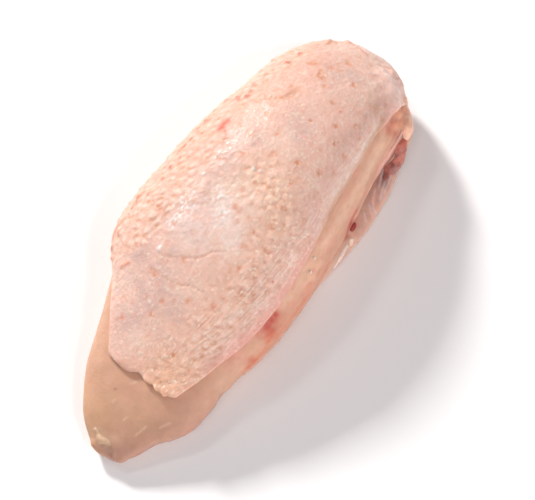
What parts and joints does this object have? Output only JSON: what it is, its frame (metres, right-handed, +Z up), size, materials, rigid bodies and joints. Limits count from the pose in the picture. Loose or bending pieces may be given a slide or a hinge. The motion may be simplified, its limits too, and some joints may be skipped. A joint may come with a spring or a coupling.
{
  "type": "raw skin-on chicken breast",
  "caption": "Raw boneless chicken breast with its skin on: main fillet, inner fillet under the keel side, and the skin wrapped over the top, outer side and shoulder end.",
  "frame": {"origin": "on the surface the breast lies on, under the middle of its bounding box", "axes": "+Y from the thin tail end to the thick shoulder end, +X towards the keel side with the inner fillet, +Z up to the skin side"},
  "size_m": [0.0759, 0.1793, 0.0423],
  "materials": {
    "meat": "raw poultry meat, pale tan pink, moist and slightly translucent",
    "inner_meat": "raw poultry meat under a thin membrane, darker and greyer, wet",
    "skin": "raw poultry skin, pale pink with feather follicles, moist gloss"
  },
  "bodies": {
    "root": {"breast_fillet": "meat", "inner_fillet": "inner_meat", "skin": "skin"}
  },
  "joints": []
}
